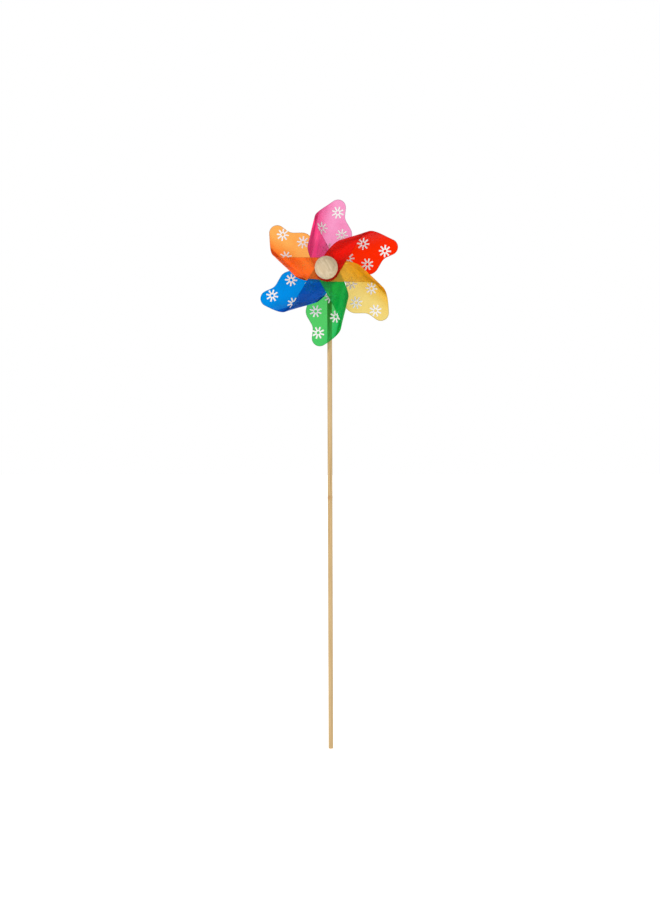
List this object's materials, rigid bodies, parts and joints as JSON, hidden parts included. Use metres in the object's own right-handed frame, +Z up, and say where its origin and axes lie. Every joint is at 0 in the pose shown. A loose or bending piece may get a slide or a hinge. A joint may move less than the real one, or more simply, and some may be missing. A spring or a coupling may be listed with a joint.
{
  "type": "pinwheel",
  "caption": "Pinwheel with curled petals of tinted clear film that turn on a pin behind a round wooden bead, at the top of a thin bamboo stick.",
  "frame": {"origin": "centre of the stick's foot", "axes": "+Z up along the stick, the pin along Y with the bead in front at -Y, +X to the right as seen from the front"},
  "size_m": [0.1412, 0.0555, 0.5629],
  "materials": {
    "bamboo": "pale bamboo, dry, with fine grain along the stick",
    "bead_wood": "plain sanded pale wood",
    "wire": "bright drawn wire",
    "white_plastic": "plain white tube",
    "clear_plastic": "clear washer",
    "pink_film": "glossy tinted clear film",
    "orange_film": "glossy tinted clear film",
    "blue_film": "glossy tinted clear film",
    "green_film": "glossy tinted clear film",
    "yellow_film": "glossy tinted clear film",
    "red_film": "glossy tinted clear film",
    "white_ink": "printed white ink"
  },
  "bodies": {
    "stick": {"bamboo_stick": "bamboo", "axle_pin": "wire", "rear_spacer": "white_plastic", "wood_bead": "bead_wood"},
    "rotor": {"rear_washer": "clear_plastic", "hub_tube": "white_plastic", "front_washer": "clear_plastic", "petal_pink": "pink_film", "petal_orange": "orange_film", "petal_blue": "blue_film", "petal_green": "green_film", "petal_yellow": "yellow_film", "petal_red": "red_film"}
  },
  "joints": [
    {"name": "rotor_spin", "type": "hinge", "parent": "stick", "child": "rotor", "pos_m": [0, 0, 0.488], "axis": [0, -1, 0], "continuous": true}
  ]
}
